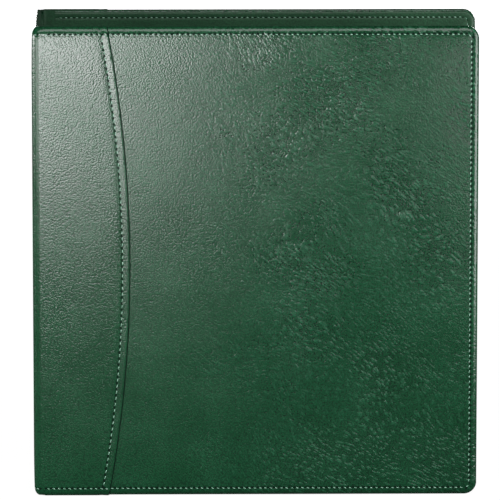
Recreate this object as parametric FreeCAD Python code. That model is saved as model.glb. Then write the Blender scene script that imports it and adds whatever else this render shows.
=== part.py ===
import FreeCAD, Part
import math
import os

# Ring album for stamp leaves. Millimetres. X runs from the spine to the fore-edge, Y from the front
# cover to the back cover, Z up. The album stands on its bottom edges, closed. Sizes are set here, and
# everything that fits to another piece follows from them.

# leaves
LEAF_WIDTH = 228.0
LEAF_HEIGHT = 279.4
CARD = 0.8
LEAF_PITCH = 3.5
LEAF_PAIRS = 4  # leaves on each side of the ring centre
SLOT_TRAVEL = 11.4  # room for the wire along a slot
SLOT_PLAY = 3.4  # room for the wire across a slot
SLOT_EDGE = 4.0  # card between the slots and the bound edge
STRIP_ROWS = 6
STRIP_FILM = 0.4
STRIP_GAP = 3.0
STRIP_BORDER = 6.0
STRIP_BIND = 27.0  # bound edge to the strips
HANG_GAP = 0.3  # slot above the wire that the leaf hangs on

# covers
COVER_OVERHANG = 13.0  # beyond the leaves, at the top and the bottom
FORE_OVERHANG = 16.5
CORNER_RADIUS = 8.0
EDGE_ROUND = 3.0
INNER_ROUND = 0.6
OVERLAY = 0.8
SKIN = 1.0
FOAM = 2.2
BOARD = 2.2
LINING = 0.8
HINGE_RADIUS = 5.0
HINGE_CLEAR = 0.7

# stitching
EDGE_INSET = 5.0
SEAM_INSET = 5.0
THREAD_WIDTH = 0.8
THREAD_HEIGHT = 0.35
CHANNEL_ROOM = 0.2  # beside the thread, on each side
CHANNEL_COVER = 0.15  # over the thread
SEAM_END = 48.0  # spine's outer face to the seam, at the top and the bottom
SEAM_BOW = 14.0  # how much further the seam reaches at half height
SEAM_LAP = 12.0

# ring mechanism
RING_BORE = 38.1
WIRE = 3.6
RING_PITCH = 108.0
RING_ROOM = 4.4  # ring to lining, so that the rings open between closed covers
TIP_GAP = 0.1
FOOT_SETBACK = 2.3  # carrier's pivot to where a wire bends down to the carrier
ELBOW_CLEAR = 0.6  # bend radius of the wire, over half the wire
FOOT_LEG = 0.6
BASE_HALF = 15.0
BASE_SHEET = 1.0
BASE_RISE = 4.3
BASE_BEYOND = 18.0  # base beyond the end rings
EAR_LENGTH = 8.0
EAR_ABOVE = 1.6  # ear beyond the lever pin
BLADE = 1.0
BLADE_SIDE = 0.2  # carrier to the base's walls
BLADE_OVER = 0.4  # carrier to the spring of the arch
BLADE_GAP = 0.15
WIRE_CLEAR = 0.6
RIVET_RADIUS = 2.0
RIVET_HEAD_RIM = 2.5
RIVET_CAP_RIM = 1.5
RIVET_HEAD_THICK = 0.8
RIVET_CLEAR = 0.8
PIN_RADIUS = 1.0
PIN_CLEAR = 0.05
PIN_HEIGHT = 5.6
HUB_WALL = 1.2
HUB_SIDE = 0.3
HUB_CLEAR = 0.4  # hub to the end of a carrier
LEVER_LENGTH = 20.0
LEVER_HALF = 5.0
LEVER_THICK = 2.0
LEVER_LEAN = 12.0
FOOT_REACH = 4.5
FOOT_HALF = 2.0
FOOT_THICK = 0.8
FOOT_GAP = 0.4
FOOT_CLEAR = 0.4

# sizes that follow
SLOT_LENGTH = WIRE + SLOT_TRAVEL
SLOT_HEIGHT = WIRE + SLOT_PLAY
COVER_HEIGHT = LEAF_HEIGHT + 2 * COVER_OVERHANG
COVER_THICK = OVERLAY + SKIN + FOAM + BOARD + LINING
SPINE_THICK = SKIN + FOAM + BOARD + LINING
HINGE_END = SPINE_THICK + HINGE_CLEAR
RING_RADIUS = (RING_BORE + WIRE) / 2
ALBUM_DEPTH = 2 * (RING_RADIUS + WIRE / 2 + RING_ROOM + COVER_THICK)
HALF_DEPTH = ALBUM_DEPTH / 2
SPINE_HALF = HALF_DEPTH - HINGE_RADIUS
CHANNEL_WIDTH = THREAD_WIDTH + 2 * CHANNEL_ROOM
CHANNEL_DEPTH = THREAD_HEIGHT + CHANNEL_COVER
BLADE_LIFT = FOOT_GAP + FOOT_THICK + FOOT_CLEAR
BLADE_PIVOT = BASE_HALF - BASE_SHEET - BLADE_SIDE - BLADE / 2
BLADE_TOP = SPINE_THICK + BLADE_LIFT + BLADE
BASE_WALL = BLADE_LIFT + BLADE + BLADE_OVER
HUB_RADIUS = PIN_RADIUS + HUB_WALL
BLADE_END = HUB_RADIUS + HUB_CLEAR
PIN_SETBACK = EAR_LENGTH / 2
EAR_HEIGHT = PIN_HEIGHT + PIN_RADIUS + EAR_ABOVE
RIVET_HEAD = RIVET_RADIUS + RIVET_HEAD_RIM
RIVET_CAP = RIVET_RADIUS + RIVET_CAP_RIM
FOOT_SPREAD = BLADE_PIVOT - FOOT_SETBACK
ELBOW = WIRE / 2 + ELBOW_CLEAR
PIVOT_X = BLADE_TOP - BLADE / 2
FOOT_ANGLE = math.asin(FOOT_SPREAD / RING_RADIUS)
FOOT_RISE = FOOT_LEG + ELBOW * math.cos(FOOT_ANGLE)
RING_X = BLADE_TOP + FOOT_RISE + RING_RADIUS * math.cos(FOOT_ANGLE)
HOLE_INSET = SLOT_LENGTH / 2 + SLOT_EDGE
COVER_WIDTH = RING_X + RING_RADIUS - HOLE_INSET + LEAF_WIDTH + FORE_OVERHANG
MIDDLE = COVER_HEIGHT / 2
BASE_LOW = MIDDLE - RING_PITCH - BASE_BEYOND
BASE_HIGH = MIDDLE + RING_PITCH + BASE_BEYOND
BASE_TOP = SPINE_THICK + BASE_WALL + BASE_RISE
PIN_X = SPINE_THICK + PIN_HEIGHT
SEAM_MIDDLE = SEAM_END + SEAM_BOW
SEAM_RADIUS = (MIDDLE ** 2 + SEAM_BOW ** 2) / (2 * SEAM_BOW)
RING_HEIGHTS = {
    "bottom": MIDDLE - RING_PITCH,
    "middle": MIDDLE,
    "top": MIDDLE + RING_PITCH,
}
RIVET_HEIGHTS = [MIDDLE - RING_PITCH / 2, MIDDLE + RING_PITCH / 2]

# depth of each layer of a cover, from the outer face inwards
SKIN_AT = OVERLAY
FOAM_AT = SKIN_AT + SKIN
BOARD_AT = FOAM_AT + FOAM
LINING_AT = BOARD_AT + BOARD
PAST = 1.0  # how far a cutting solid runs past what it cuts


def vec(x, y, z):
    return FreeCAD.Vector(x, y, z)


def box(x0, x1, y0, y1, z0, z1):
    return Part.makeBox(x1 - x0, y1 - y0, z1 - z0, vec(x0, y0, z0))


def fuse(first, *others):
    for other in others:
        first = first.fuse(other)
    return first.removeSplitter()


def save(name, *shapes):
    """Write one sub-part, moved so that the origin is under the middle of the album."""
    whole = shapes[0] if len(shapes) == 1 else Part.makeCompound(list(shapes))
    whole.translate(vec(-COVER_WIDTH / 2, 0, 0))
    whole.exportStep("parts/" + name + ".step")


def mirrored(shape):
    """The same piece on the back cover's side."""
    return shape.mirror(vec(0, 0, 0), vec(0, 1, 0))


def save_both(name, *shapes):
    """Write a piece for the front cover and its mirror image for the back cover."""
    save("back_" + name, *[mirrored(shape) for shape in shapes])
    save("front_" + name, *shapes)


def layer(depth):
    """Y at a depth below the front cover's outer face."""
    return depth - HALF_DEPTH


def cover_slab(inset, from_depth, to_depth):
    """Slab in the outline of a cover: square at the spine, round at the fore-edge corners."""
    y = layer(from_depth)
    right = COVER_WIDTH - inset
    low = inset
    high = COVER_HEIGHT - inset
    r = CORNER_RADIUS - inset
    bend = r * (1 - math.sqrt(0.5))
    corners = [
        vec(HINGE_END, y, low),
        vec(right - r, y, low),
        vec(right, y, low + r),
        vec(right, y, high - r),
        vec(right - r, y, high),
        vec(HINGE_END, y, high),
    ]
    low_bend = Part.Arc(corners[1], vec(right - bend, y, low + bend), corners[2])
    high_bend = Part.Arc(corners[3], vec(right - bend, y, high - bend), corners[4])
    edges = [
        Part.makeLine(corners[0], corners[1]),
        low_bend.toShape(),
        Part.makeLine(corners[2], corners[3]),
        high_bend.toShape(),
        Part.makeLine(corners[4], corners[5]),
        Part.makeLine(corners[5], corners[0]),
    ]
    return Part.Face(Part.Wire(edges)).extrude(vec(0, to_depth - from_depth, 0))


def round_edges(slab, depth, radius):
    """Round the edges of a cover slab on the face at this depth, apart from the hinge end."""
    chosen = []
    for edge in slab.Edges:
        box_of = edge.BoundBox
        on_face = abs(box_of.YMin - layer(depth)) < 1e-6 and abs(box_of.YMax - layer(depth)) < 1e-6
        if on_face and box_of.XMax > HINGE_END + 1e-6:
            chosen.append(edge)
    return slab.makeFillet(radius, chosen)


def edge_band(width, from_depth, to_depth):
    """Band along the edge stitching, open towards the spine."""
    outer = cover_slab(EDGE_INSET - width / 2, from_depth, to_depth)
    inner = cover_slab(EDGE_INSET + width / 2, from_depth - PAST, to_depth + PAST)
    return outer.cut(inner)


def seam_slab(back, from_depth, to_depth, low, high):
    """Slab from the hinge to the curved seam, or to a line that lies back from the seam."""
    y = layer(from_depth)
    radius = SEAM_RADIUS - back
    centre = SEAM_MIDDLE - SEAM_RADIUS

    def reach(z):
        return centre + math.sqrt(radius ** 2 - (z - MIDDLE) ** 2)

    start = vec(reach(low), y, low)
    end = vec(reach(high), y, high)
    edges = [
        Part.makeLine(vec(HINGE_END, y, low), start),
        Part.Arc(start, vec(reach(MIDDLE), y, MIDDLE), end).toShape(),
        Part.makeLine(end, vec(HINGE_END, y, high)),
        Part.makeLine(vec(HINGE_END, y, high), vec(HINGE_END, y, low)),
    ]
    return Part.Face(Part.Wire(edges)).extrude(vec(0, to_depth - from_depth, 0))


def seam_band(width, from_depth, to_depth):
    """Band along the seam stitching, between the two rows of edge stitching."""
    low = EDGE_INSET + CHANNEL_WIDTH
    high = COVER_HEIGHT - low
    outer = seam_slab(SEAM_INSET - width / 2, from_depth, to_depth, low, high)
    inner = seam_slab(SEAM_INSET + width / 2, from_depth - PAST, to_depth + PAST, low - PAST, high + PAST)
    return outer.cut(inner)


def build_covers():
    """Board, padding, leather, lining and thread of both covers."""
    filling = cover_slab(SKIN, FOAM_AT, COVER_THICK)
    filling = round_edges(filling, FOAM_AT, EDGE_ROUND - SKIN)
    outside = cover_slab(0, SKIN_AT, COVER_THICK)
    outside = round_edges(outside, SKIN_AT, EDGE_ROUND)
    outside = round_edges(outside, COVER_THICK, INNER_ROUND)
    tray = outside.cut(filling)

    def band_of(start, end):
        return filling.common(cover_slab(0, start, end))

    save_both("foam", band_of(FOAM_AT, BOARD_AT))
    save_both("board", band_of(BOARD_AT, LINING_AT))

    low = EDGE_ROUND
    high = COVER_HEIGHT - EDGE_ROUND
    lap = seam_slab(SEAM_LAP, -PAST, COVER_THICK + PAST, -PAST, COVER_HEIGHT + PAST)
    covered = seam_slab(0, -PAST, COVER_THICK + PAST, -PAST, COVER_HEIGHT + PAST)
    groove = edge_band(CHANNEL_WIDTH, SKIN_AT - PAST, SKIN_AT + CHANNEL_DEPTH).cut(covered)
    save_both("skin", tray.cut(lap).cut(groove))

    panel = fuse(tray.common(lap), seam_slab(0, 0, OVERLAY, low, high))
    panel = panel.cut(edge_band(CHANNEL_WIDTH, -PAST, CHANNEL_DEPTH))
    panel = panel.cut(seam_band(CHANNEL_WIDTH, -PAST, CHANNEL_DEPTH))
    save_both("spine_panel", panel)
    thread_top = CHANNEL_DEPTH - THREAD_HEIGHT
    save_both("seam_thread", seam_band(THREAD_WIDTH, thread_top, CHANNEL_DEPTH))

    inner_groove = edge_band(CHANNEL_WIDTH, COVER_THICK - THREAD_HEIGHT, COVER_THICK + PAST)
    save_both("lining", band_of(LINING_AT, COVER_THICK).cut(inner_groove))
    on_skin = edge_band(THREAD_WIDTH, SKIN_AT + thread_top, SKIN_AT + CHANNEL_DEPTH).cut(covered)
    on_panel = edge_band(THREAD_WIDTH, thread_top, CHANNEL_DEPTH).common(covered)
    on_lining = edge_band(THREAD_WIDTH, COVER_THICK - THREAD_HEIGHT, COVER_THICK)
    save_both("edge_thread", *(on_skin.Solids + on_panel.Solids + on_lining.Solids))


def spine_slab(inset, x0, x1):
    return box(x0, x1, -SPINE_HALF, SPINE_HALF, inset, COVER_HEIGHT - inset)


def round_spine(slab, x, radius):
    """Round the top and bottom edges of a spine slab on the face at this X."""
    chosen = []
    for edge in slab.Edges:
        box_of = edge.BoundBox
        along_y = box_of.YLength > 2 * SPINE_HALF - 1
        if along_y and abs(box_of.XMin - x) < 1e-6 and abs(box_of.XMax - x) < 1e-6:
            chosen.append(edge)
    return slab.makeFillet(radius, chosen)


def build_spine():
    """Board, padding, leather, lining, thread and corner leather of the spine."""
    filling = round_spine(spine_slab(SKIN, SKIN, SPINE_THICK), SKIN, EDGE_ROUND - SKIN)
    outside = round_spine(spine_slab(0, 0, SPINE_THICK), 0, EDGE_ROUND)
    outside = round_spine(outside, SPINE_THICK, INNER_ROUND)
    skin = outside.cut(filling)
    foam = filling.common(spine_slab(0, SKIN, SKIN + FOAM))
    board = filling.common(spine_slab(0, SKIN + FOAM, SKIN + FOAM + BOARD))
    lining = filling.common(spine_slab(0, SKIN + FOAM + BOARD, SPINE_THICK))

    threads = []
    for height in (EDGE_INSET, COVER_HEIGHT - EDGE_INSET):
        low = height - CHANNEL_WIDTH / 2
        high = height + CHANNEL_WIDTH / 2
        skin = skin.cut(box(-PAST, CHANNEL_DEPTH, -SPINE_HALF, SPINE_HALF, low, high))
        deep = SPINE_THICK - THREAD_HEIGHT
        lining = lining.cut(box(deep, SPINE_THICK + PAST, -SPINE_HALF, SPINE_HALF, low, high))
        low = height - THREAD_WIDTH / 2
        high = height + THREAD_WIDTH / 2
        top = CHANNEL_DEPTH - THREAD_HEIGHT
        threads.append(box(top, CHANNEL_DEPTH, -SPINE_HALF, SPINE_HALF, low, high))
        threads.append(box(deep, SPINE_THICK, -SPINE_HALF, SPINE_HALF, low, high))

    along = vec(1, 0, 0)
    back = SKIN + FOAM
    for height in RIVET_HEIGHTS:
        head_start = back - RIVET_HEAD_THICK
        foam = foam.cut(Part.makeCylinder(RIVET_HEAD, RIVET_HEAD_THICK, vec(head_start, 0, height), along))
        shank = Part.makeCylinder(RIVET_RADIUS, SPINE_THICK, vec(back, 0, height), along)
        board = board.cut(shank)
        lining = lining.cut(shank)

    save("spine_skin", skin)
    save("spine_foam", foam)
    save("spine_board", board)
    save("spine_lining", lining)
    save("spine_edge_thread", *threads)

    r = HINGE_RADIUS
    turn = vec(r, r - HALF_DEPTH, 0)
    corner = Part.makeCylinder(r, COVER_HEIGHT, turn, vec(0, 0, 1))
    corner = corner.cut(Part.makeCylinder(r - SKIN, COVER_HEIGHT, turn, vec(0, 0, 1)))
    corner = corner.common(box(0, r, -HALF_DEPTH, r - HALF_DEPTH, 0, COVER_HEIGHT))
    run = box(r, HINGE_END, -HALF_DEPTH, SKIN - HALF_DEPTH, 0, COVER_HEIGHT)
    save_both("hinge_leather", fuse(corner, run))

    # the lining tucks into the corner, so that it is long enough when the cover lies open
    thin = HINGE_CLEAR - 0.1
    near = SKIN + FOAM + BOARD
    deep = -SPINE_HALF - r / 2
    spine_leg = box(near, near + thin, deep, -SPINE_HALF, SKIN, COVER_HEIGHT - SKIN)
    cover_leg = box(HINGE_END - thin, HINGE_END, deep, layer(COVER_THICK), SKIN, COVER_HEIGHT - SKIN)
    fold = box(near, HINGE_END, deep - thin, deep, SKIN, COVER_HEIGHT - SKIN)
    save_both("hinge_lining", fuse(spine_leg, fold, cover_leg))


def base_profile(inset):
    """Arched section of the ring base in the XY plane."""
    foot = SPINE_THICK - (PAST if inset else 0)
    half = BASE_HALF - inset
    spring = SPINE_THICK + BASE_WALL
    left = vec(spring, -half, 0)
    right = vec(spring, half, 0)
    arch = Part.Arc(left, vec(BASE_TOP - inset, 0, 0), right).toShape()
    edges = [
        Part.makeLine(vec(foot, -half, 0), left),
        arch,
        Part.makeLine(right, vec(foot, half, 0)),
        Part.makeLine(vec(foot, half, 0), vec(foot, -half, 0)),
    ]
    return Part.Face(Part.Wire(edges))


def pin_heights():
    return {"bottom": BASE_LOW + PIN_SETBACK, "top": BASE_HIGH - PIN_SETBACK}


def build_base():
    """Arched plate on the spine, with its rivets and the pins of the levers."""
    length = BASE_HIGH - BASE_LOW
    outer = base_profile(0).extrude(vec(0, 0, length))
    inner = base_profile(BASE_SHEET).extrude(vec(0, 0, length + 2 * PAST))
    inner.translate(vec(0, 0, -PAST))
    base = outer.cut(inner)
    base.translate(vec(0, 0, BASE_LOW))
    for low in (BASE_LOW, BASE_HIGH - EAR_LENGTH):
        high = low + EAR_LENGTH
        base = base.cut(box(SPINE_THICK + BASE_WALL, BASE_TOP + PAST, -BASE_HALF, BASE_HALF, low, high))
        for side in (-1, 1):
            edge = sorted([side * BASE_HALF, side * (BASE_HALF - BASE_SHEET)])
            base = base.fuse(box(SPINE_THICK, SPINE_THICK + EAR_HEIGHT, edge[0], edge[1], low, high))
    base = base.removeSplitter()

    half_slot = WIRE / 2 + WIRE_CLEAR
    for height in RING_HEIGHTS.values():
        for side in (-1, 1):
            edge = sorted([side * (BASE_HALF + PAST), side * (FOOT_SPREAD - WIRE)])
            slot_low = BLADE_TOP + 0.2
            base = base.cut(box(slot_low, BASE_TOP + PAST, edge[0], edge[1],
                                height - half_slot, height + half_slot))

    rivets = []
    along = vec(1, 0, 0)
    head_start = SKIN + FOAM - RIVET_HEAD_THICK
    for height in RIVET_HEIGHTS:
        shank_length = BASE_TOP - head_start
        shank = Part.makeCylinder(RIVET_RADIUS, shank_length, vec(head_start, 0, height), along)
        head = Part.makeCylinder(RIVET_HEAD, RIVET_HEAD_THICK, vec(head_start, 0, height), along)
        cap = Part.makeCylinder(RIVET_CAP, RIVET_HEAD_THICK, vec(BASE_TOP, 0, height), along)
        base = base.cut(shank)
        rivets.append(fuse(shank, head, cap))
    save("base_rivets", *rivets)

    pins = []
    for height in pin_heights().values():
        pin = Part.makeCylinder(PIN_RADIUS, 2 * BASE_HALF, vec(PIN_X, -BASE_HALF, height), vec(0, 1, 0))
        base = base.cut(pin)
        pins.append(pin)
    save("lever_pins", *pins)
    save("ring_base", base)


def build_rings():
    """Carriers that turn on their outer edges, and the half rings fixed on them."""
    ends = pin_heights()
    low = ends["bottom"] + BLADE_END
    high = ends["top"] - BLADE_END
    plate = box(BLADE_TOP - BLADE, BLADE_TOP, -BLADE_PIVOT, -BLADE_GAP, low, high)
    roll = Part.makeCylinder(BLADE / 2, high - low, vec(PIVOT_X, -BLADE_PIVOT, low), vec(0, 0, 1))
    blade = fuse(plate, roll)
    for height in RIVET_HEIGHTS:
        notch = RIVET_RADIUS + RIVET_CLEAR
        blade = blade.cut(Part.makeCylinder(notch, BASE_TOP, vec(0, 0, height), vec(1, 0, 0)))
    save_both("carrier", blade)

    turn = math.degrees(TIP_GAP / 2 / RING_RADIUS)
    foot = math.degrees(FOOT_ANGLE)
    up = vec(0, 0, 1)
    for name, height in RING_HEIGHTS.items():
        centre = vec(RING_X, 0, height)
        tip = centre + vec(RING_RADIUS, 0, 0)
        section = Part.Face(Part.Wire(Part.makeCircle(WIRE / 2, tip, vec(0, 1, 0))))
        section.rotate(centre, up, -turn)
        hoop = section.revolve(centre, up, turn + foot - 180)
        section.rotate(centre, up, turn + foot - 180)
        reach = RING_RADIUS + ELBOW
        bend = centre - vec(reach * math.cos(FOOT_ANGLE), reach * math.sin(FOOT_ANGLE), 0)
        elbow = section.revolve(bend, up, 90 - foot)
        section.rotate(bend, up, 90 - foot)
        leg = section.extrude(vec(-FOOT_LEG, 0, 0))
        save_both("ring_" + name, fuse(hoop, elbow, leg))


def build_levers():
    """Trigger at each end of the base: hub on its pin, thumb tab, and foot under the carriers."""
    hub_half = BASE_HALF - BASE_SHEET - HUB_SIDE
    drop = PIN_HEIGHT - FOOT_GAP
    thick = LEVER_THICK / 2
    for name, height in pin_heights().items():
        hub = Part.makeCylinder(HUB_RADIUS, 2 * hub_half, vec(0, -hub_half, 0), vec(0, 1, 0))
        tab = box(0, LEVER_LENGTH, -LEVER_HALF, LEVER_HALF, -thick, thick)
        tip = [e for e in tab.Edges if e.BoundBox.XMin > LEVER_LENGTH - 1e-6 and e.BoundBox.ZLength > thick]
        tab = tab.makeFillet(LEVER_HALF * 0.8, tip)
        tab.rotate(vec(0, 0, 0), vec(0, 1, 0), -LEVER_LEAN)
        post = box(-drop, 0, -FOOT_HALF, FOOT_HALF, -thick, thick)
        foot = box(-drop, FOOT_THICK - drop, -FOOT_HALF, FOOT_HALF, -FOOT_REACH, thick)
        lever = fuse(hub, tab, post, foot)
        bore = Part.makeCylinder(PIN_RADIUS + PIN_CLEAR, 2 * BASE_HALF, vec(0, -BASE_HALF, 0), vec(0, 1, 0))
        lever = lever.cut(bore)
        if name == "bottom":
            lever = lever.mirror(vec(0, 0, 0), vec(0, 0, 1))
        lever.translate(vec(PIN_X, 0, height))
        save(name + "_lever", lever)


def slot(x, y0, y1, z):
    """Long hole with round ends through a leaf."""
    r = SLOT_HEIGHT / 2
    straight = SLOT_LENGTH / 2 - r
    middle = box(x - straight, x + straight, y0, y1, z - r, z + r)
    ends = []
    for side in (-1, 1):
        ends.append(Part.makeCylinder(r, y1 - y0, vec(x + side * straight, y0, z), vec(0, 1, 0)))
    return fuse(middle, *ends)


def build_leaves():
    """Punched cards on the rings, each with rows of clear strips on both sides."""
    drop = SLOT_HEIGHT / 2 - WIRE / 2 - HANG_GAP
    low = MIDDLE - LEAF_HEIGHT / 2 - drop
    high = low + LEAF_HEIGHT
    row = (LEAF_HEIGHT - 2 * STRIP_BORDER - (STRIP_ROWS - 1) * STRIP_GAP) / STRIP_ROWS
    for count in range(2 * LEAF_PAIRS):
        y = (count - LEAF_PAIRS + 0.5) * LEAF_PITCH
        hole_x = RING_X + math.sqrt(RING_RADIUS ** 2 - y ** 2)
        left = hole_x - HOLE_INSET
        right = left + LEAF_WIDTH
        front = y - CARD / 2
        back = y + CARD / 2
        card = box(left, right, front, back, low, high)
        for height in RING_HEIGHTS.values():
            card = card.cut(slot(hole_x, front - PAST, back + PAST, height - drop))
        strips = []
        for step in range(STRIP_ROWS):
            z = low + STRIP_BORDER + step * (row + STRIP_GAP)
            start = left + STRIP_BIND
            end = right - STRIP_BORDER
            strips.append(box(start, end, front - STRIP_FILM, front, z, z + row))
            strips.append(box(start, end, back, back + STRIP_FILM, z, z + row))
        save("leaf_%d_card" % (count + 1), card)
        save("leaf_%d_strips" % (count + 1), *strips)


os.makedirs("parts", exist_ok=True)
build_covers()
build_spine()
build_base()
build_rings()
build_levers()
build_leaves()
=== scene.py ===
import math
import bmesh
import bpy
from mathutils import Matrix, Vector, noise

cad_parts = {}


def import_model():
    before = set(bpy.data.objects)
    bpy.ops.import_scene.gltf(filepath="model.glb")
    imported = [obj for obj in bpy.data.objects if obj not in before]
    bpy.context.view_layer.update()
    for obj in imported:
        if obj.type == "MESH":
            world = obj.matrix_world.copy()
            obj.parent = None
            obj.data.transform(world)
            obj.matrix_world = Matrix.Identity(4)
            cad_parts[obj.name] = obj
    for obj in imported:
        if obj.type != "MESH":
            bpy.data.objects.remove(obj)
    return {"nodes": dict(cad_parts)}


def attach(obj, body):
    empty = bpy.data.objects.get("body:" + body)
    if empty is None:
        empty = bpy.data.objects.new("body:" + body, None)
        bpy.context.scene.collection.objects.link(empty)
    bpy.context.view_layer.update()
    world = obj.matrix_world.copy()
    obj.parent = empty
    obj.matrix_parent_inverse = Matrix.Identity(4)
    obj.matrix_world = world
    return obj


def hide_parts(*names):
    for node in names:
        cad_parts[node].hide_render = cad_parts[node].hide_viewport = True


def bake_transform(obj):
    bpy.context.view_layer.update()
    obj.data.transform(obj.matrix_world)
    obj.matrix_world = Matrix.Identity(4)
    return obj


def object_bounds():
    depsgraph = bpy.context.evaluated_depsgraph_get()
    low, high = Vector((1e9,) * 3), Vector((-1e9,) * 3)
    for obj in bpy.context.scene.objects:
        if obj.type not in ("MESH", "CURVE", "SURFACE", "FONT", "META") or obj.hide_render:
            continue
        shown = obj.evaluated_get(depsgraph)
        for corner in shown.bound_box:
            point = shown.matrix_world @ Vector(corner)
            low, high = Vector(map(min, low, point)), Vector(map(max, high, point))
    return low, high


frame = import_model()
cad_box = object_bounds()
nodes = frame["nodes"]

# The stamp album: two padded covers and a spine in green faux leather, lined, sewn round the edge,
# with a lapped seam that bows across the covers. Lengths are millimetres until a mesh is settled.
# Across runs from the spine's outer face, depth inwards from a cover's outer plane, and a margin
# inwards from a cover's edge. A cover lies on the bench face up, with x across and y its height.

WIDTH, DEPTH, HEIGHT = [round(1000 * size, 1) for size in cad_box[1] - cad_box[0]]
HALF_DEPTH = DEPTH / 2
BEND = 5.0  # radius of the leather round the hinge
SPINE_HALF = HALF_DEPTH - BEND
HINGE_END = 6.9  # where a cover's own layers start
SPINE_LINED = 6.2  # inner face of the spine
COVER_LINED = 7.0  # inner face of a cover
LAP_WALL = 0.72  # the seam's upper leather
TURN = 0.3  # how much lower the cover sits than the lapped leather that turns over its edges
EDGE_STITCH, SEAM_STITCH = 3.4, 4.0  # stitch lengths
EDGE_LINE, SEAM_LINE = 5.0, 5.0  # how far the rows are from the edge and from the lapped edge
EDGE_DROP = 0.1  # how much further in the rows along the top and the bottom are
SEAM_END, SEAM_BOW = 48.0, 14.0  # the lapped edge at the top and the bottom, and how far it bows
SEAM_RADIUS = ((HEIGHT / 2) ** 2 + SEAM_BOW ** 2) / (2 * SEAM_BOW)
SEAM_CHANNEL = 0.12  # how far the seam's stitches draw the leather down
TOUCH = 0.001  # points closer than this are one

# The turned edge of the lapped leather and of the spine, from the padded face, through the channel that
# the stitches draw, over the edge to the inside: (margin, depth).
ROLL = [
    (30, -0.25), (20, -0.2), (13, -0.12), (9, -0.05), (7.4, 0.0), (6.4, 0.03), (5.9, 0.07), (5.4, 0.13),
    (5, 0.16), (4.6, 0.16), (4.1, 0.2), (3.4, 0.34), (2.8, 0.52), (2, 0.86), (1.25, 1.38), (0.65, 2.0),
    (0.2, 2.7), (0, 3.4), (0, 4.2), (0.05, 5.1), (0.25, 6.1), (2.0, 6.45)]
# The same for the cover under the lap.
PANEL_ROLL = [
    (8, 0.8), (7.2, 0.81), (6.4, 0.84), (5.9, 0.88), (5.4, 0.94), (5, 0.96), (4.6, 0.96), (4.1, 1.0),
    (3.4, 1.12), (2.8, 1.3), (2, 1.62), (1.2, 2.15), (0.6, 2.75), (0.15, 3.45), (0, 4.0), (0, 4.4),
    (0.05, 5.1), (0.2, 5.95), (0.7, 6.42), (2.4, 6.45)]
PANEL_COLUMNS, PANEL_ROWS = 108, 116  # the grid inside the turned edge
PANEL_SWELL, SWELL_REACH = 0.28, 22.0  # how far the padding lifts the middle, and how far from the edge
SLACK, SLACK_WAVE = 0.05, 38  # height and size of the loose leather's slow waves
# The lining's edge, turned in and drawn down along its own row of stitches: (margin, depth).
LINING_ROLL = [
    (6.7, 7.0), (5.6, 7.0), (4.7, 6.98), (4.1, 6.86), (3.7, 6.72), (3.3, 6.86), (2.7, 6.98), (1.6, 7.0),
    (0.5, 6.97), (0.15, 6.75), (0, 6.5), (0, 6.1), (0.8, 6.05)]
LINING_INSET = 1.3  # from the cover's edge to the lining's

FRONT = Matrix.Translation((-WIDTH / 2, -HALF_DEPTH, 0)) @ Matrix.Rotation(math.pi / 2, 4, "X")
BACK = Matrix.Scale(-1, 4, (0, 1, 0)) @ FRONT
SIDES = {"front": FRONT, "back": BACK}


# Finishes

def linear(code):
    """An sRGB hex colour as Blender's linear numbers."""
    parts = [int(code[i:i + 2], 16) / 255 for i in (1, 3, 5)]
    return tuple(c / 12.92 if c <= 0.04045 else ((c + 0.055) / 1.055) ** 2.4 for c in parts) + (1.0,)


def repeats(size_mm):
    """A pattern's scale, from the real size of what repeats in it."""
    return 1000 / size_mm


def add(tree, kind, sockets=None, **settings):
    """A node with its settings; a socket takes a value or another node's output."""
    node = tree.nodes.new(kind)
    for key, value in settings.items():
        setattr(node, key, value)
    for key, value in (sockets or {}).items():
        if isinstance(value, bpy.types.NodeSocket):
            tree.links.new(value, node.inputs[key])
        else:
            node.inputs[key].default_value = value
    return node


def finish_named(name, sockets):
    """A material with its shader, and the place of each point on the piece."""
    material = bpy.data.materials.new(name)
    material.use_nodes = True
    tree = material.node_tree
    shader = tree.nodes["Principled BSDF"]
    for key, value in sockets.items():
        shader.inputs[key].default_value = value
    return material, tree, shader, add(tree, "ShaderNodeTexCoord").outputs["Object"]


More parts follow.
